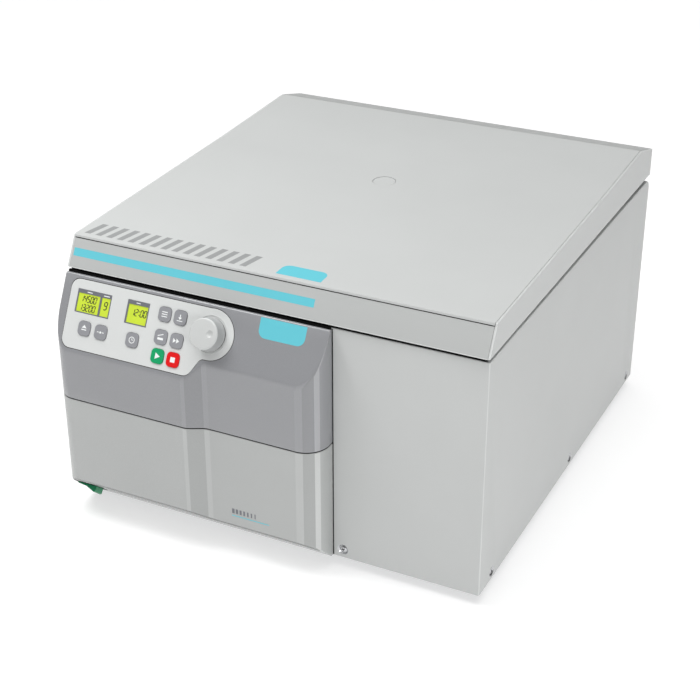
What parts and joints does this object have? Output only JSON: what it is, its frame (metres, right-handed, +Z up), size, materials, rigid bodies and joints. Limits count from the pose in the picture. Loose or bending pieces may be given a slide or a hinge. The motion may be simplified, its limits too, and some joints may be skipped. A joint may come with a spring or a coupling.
{
  "type": "laboratory centrifuge",
  "caption": "Bench centrifuge: boxy casing, sloping control face with displays, keys and knob, rear-hinged lid over a steel bowl with a swing-out rotor.",
  "frame": {"origin": "on the table, under the middle of the bounding box", "axes": "+Z up; -Y towards the front, where the controls are; +X to the right of a person facing the front"},
  "size_m": [0.57, 0.675, 0.3988],
  "materials": {
    "painted_steel": "fine-textured light grey powder coat",
    "galvanised_steel": "dull zinc-coated sheet",
    "stainless_steel": "spun stainless steel with a fine circular grain",
    "machined_steel": "bright turned and milled steel",
    "anodised_aluminium": "satin grey anodising",
    "dark_cover": "fine-textured mid grey moulding",
    "light_cover": "fine-textured light grey moulding",
    "control_film": "satin off-white keypad film",
    "liner_plastic": "thermoformed light grey plastic",
    "knob_plastic": "smooth satin plastic",
    "key_grey": "satin mid grey key",
    "key_green": "satin green key",
    "key_red": "satin red key",
    "lcd_glass": "lit yellow-green liquid crystal window",
    "switch_green": "glossy green rocker",
    "black_plastic": "black glass-filled plastic",
    "rubber": "black rubber",
    "port_acrylic": "milky acrylic",
    "circuit_board": "green lacquered board"
  },
  "bodies": {
    "casing": {"base_plate": "galvanised_steel", "foot_front_left": "rubber", "foot_front_right": "rubber", "foot_rear_left": "rubber", "foot_rear_right": "rubber", "front_panel": "painted_steel", "right_side_panel": "painted_steel", "left_side_panel": "painted_steel", "top_deck": "painted_steel", "rear_panel": "painted_steel", "upper_fascia": "dark_cover", "lower_fascia": "light_cover", "control_panel": "control_film", "lcd_speed": "lcd_glass", "lcd_time": "lcd_glass", "control_board": "circuit_board", "power_switch_housing": "black_plastic", "chamber_bowl": "stainless_steel", "chamber_gasket": "rubber", "motor": "black_plastic", "motor_mount_1": "rubber", "motor_mount_2": "rubber", "motor_mount_3": "rubber", "lock_bearing": "black_plastic", "hinge_bracket_left": "machined_steel", "hinge_bracket_right": "machined_steel", "motor_drive": "anodised_aluminium", "fan_frame": "black_plastic", "mains_inlet": "black_plastic"},
    "lid": {"lid_shell": "painted_steel", "lid_liner": "liner_plastic", "lid_port_window": "port_acrylic", "striker_left": "machined_steel", "striker_right": "machined_steel", "lid_hinge_leaf_left": "machined_steel", "lid_hinge_leaf_right": "machined_steel"},
    "lid_lock": {"lid_lock": "machined_steel"},
    "rotor": {"drive_shaft": "machined_steel", "rotor_yoke": "anodised_aluminium", "rotor_nut": "machined_steel"},
    "bucket_1": {"bucket_1": "anodised_aluminium"},
    "bucket_2": {"bucket_2": "anodised_aluminium"},
    "bucket_3": {"bucket_3": "anodised_aluminium"},
    "bucket_4": {"bucket_4": "anodised_aluminium"},
    "strut_left": {"strut_cylinder_left": "black_plastic"},
    "strut_rod_left": {"strut_rod_left": "machined_steel"},
    "strut_right": {"strut_cylinder_right": "black_plastic"},
    "strut_rod_right": {"strut_rod_right": "machined_steel"},
    "key_speed": {"key_speed": "key_grey"},
    "key_rcf": {"key_rcf": "key_grey"},
    "key_time": {"key_time": "key_grey"},
    "key_program": {"key_program": "key_grey"},
    "key_store": {"key_store": "key_grey"},
    "key_lid": {"key_lid": "key_grey"},
    "key_short_run": {"key_short_run": "key_grey"},
    "key_start": {"key_start": "key_green"},
    "key_stop": {"key_stop": "key_red"},
    "control_knob": {"control_knob": "knob_plastic"},
    "power_rocker": {"power_rocker": "switch_green"},
    "fan": {"fan_rotor": "black_plastic"}
  },
  "joints": [
    {"name": "lid_hinge", "type": "hinge", "parent": "casing", "child": "lid", "pos_m": [0, 0.3295, 0.36], "axis": [-1, 0, 0], "range_deg": [0, 75]},
    {"name": "strut_swing_left", "type": "hinge", "parent": "casing", "child": "strut_left", "pos_m": [-0.245, 0.2575, 0.115], "axis": [-1, 0, 0], "range_deg": [0, 5.1]},
    {"name": "strut_slide_left", "type": "slide", "parent": "strut_left", "child": "strut_rod_left", "axis": [0, 0.158, 0.9874], "range_m": [0, 0.0332]},
    {"name": "strut_swing_right", "type": "hinge", "parent": "casing", "child": "strut_right", "pos_m": [0.245, 0.2575, 0.115], "axis": [-1, 0, 0], "range_deg": [0, 5.1]},
    {"name": "strut_slide_right", "type": "slide", "parent": "strut_right", "child": "strut_rod_right", "axis": [0, 0.158, 0.9874], "range_m": [0, 0.0332]},
    {"name": "lid_lock_turn", "type": "hinge", "parent": "casing", "child": "lid_lock", "pos_m": [0, -0.2415, 0.283], "axis": [1, 0, 0], "range_deg": [0, 20]},
    {"name": "rotor_spin", "type": "hinge", "parent": "casing", "child": "rotor", "pos_m": [0, 0.0415, 0.26], "axis": [0, 0, 1], "continuous": true},
    {"name": "bucket_swing_1", "type": "hinge", "parent": "rotor", "child": "bucket_1", "pos_m": [0.095, 0.0415, 0.26], "axis": [0, -1, 0], "range_deg": [0, 90]},
    {"name": "bucket_swing_2", "type": "hinge", "parent": "rotor", "child": "bucket_2", "pos_m": [0, 0.1365, 0.26], "axis": [1, 0, 0], "range_deg": [0, 90]},
    {"name": "bucket_swing_3", "type": "hinge", "parent": "rotor", "child": "bucket_3", "pos_m": [-0.095, 0.0415, 0.26], "axis": [0, 1, 0], "range_deg": [0, 90]},
    {"name": "bucket_swing_4", "type": "hinge", "parent": "rotor", "child": "bucket_4", "pos_m": [0, -0.0535, 0.26], "axis": [-1, 0, 0], "range_deg": [0, 90]},
    {"name": "key_speed_press", "type": "slide", "parent": "casing", "child": "key_speed", "axis": [0, 0.8908, -0.4545], "range_m": [0, 0.001], "stiffness_N_per_m": 800},
    {"name": "key_rcf_press", "type": "slide", "parent": "casing", "child": "key_rcf", "axis": [0, 0.8908, -0.4545], "range_m": [0, 0.001], "stiffness_N_per_m": 800},
    {"name": "key_time_press", "type": "slide", "parent": "casing", "child": "key_time", "axis": [0, 0.8908, -0.4545], "range_m": [0, 0.001], "stiffness_N_per_m": 800},
    {"name": "key_program_press", "type": "slide", "parent": "casing", "child": "key_program", "axis": [0, 0.8908, -0.4545], "range_m": [0, 0.001], "stiffness_N_per_m": 800},
    {"name": "key_store_press", "type": "slide", "parent": "casing", "child": "key_store", "axis": [0, 0.8908, -0.4545], "range_m": [0, 0.001], "stiffness_N_per_m": 800},
    {"name": "key_lid_press", "type": "slide", "parent": "casing", "child": "key_lid", "axis": [0, 0.8908, -0.4545], "range_m": [0, 0.001], "stiffness_N_per_m": 800},
    {"name": "key_short_run_press", "type": "slide", "parent": "casing", "child": "key_short_run", "axis": [0, 0.8908, -0.4545], "range_m": [0, 0.001], "stiffness_N_per_m": 800},
    {"name": "key_start_press", "type": "slide", "parent": "casing", "child": "key_start", "axis": [0, 0.8908, -0.4545], "range_m": [0, 0.001], "stiffness_N_per_m": 800},
    {"name": "key_stop_press", "type": "slide", "parent": "casing", "child": "key_stop", "axis": [0, 0.8908, -0.4545], "range_m": [0, 0.001], "stiffness_N_per_m": 800},
    {"name": "knob_turn", "type": "hinge", "parent": "casing", "child": "control_knob", "pos_m": [-0.066, -0.309, 0.3036], "axis": [0, -0.8908, 0.4545], "continuous": true},
    {"name": "power_rocker_tilt", "type": "hinge", "parent": "casing", "child": "power_rocker", "pos_m": [-0.258, -0.31788, 0.04252], "axis": [0, -0.7466, 0.6652], "range_deg": [0, 12]},
    {"name": "fan_spin", "type": "hinge", "parent": "casing", "child": "fan", "pos_m": [-0.15, 0.3225, 0.1], "axis": [0, -1, 0], "continuous": true}
  ],
  "couplings": [
    {"joint": "strut_swing_left", "follows": "lid_hinge", "ratio": 0.06399},
    {"joint": "strut_slide_left", "follows": "lid_hinge", "m_per_rad": 0.02473},
    {"joint": "strut_swing_right", "follows": "lid_hinge", "ratio": 0.06399},
    {"joint": "strut_slide_right", "follows": "lid_hinge", "m_per_rad": 0.02473}
  ]
}
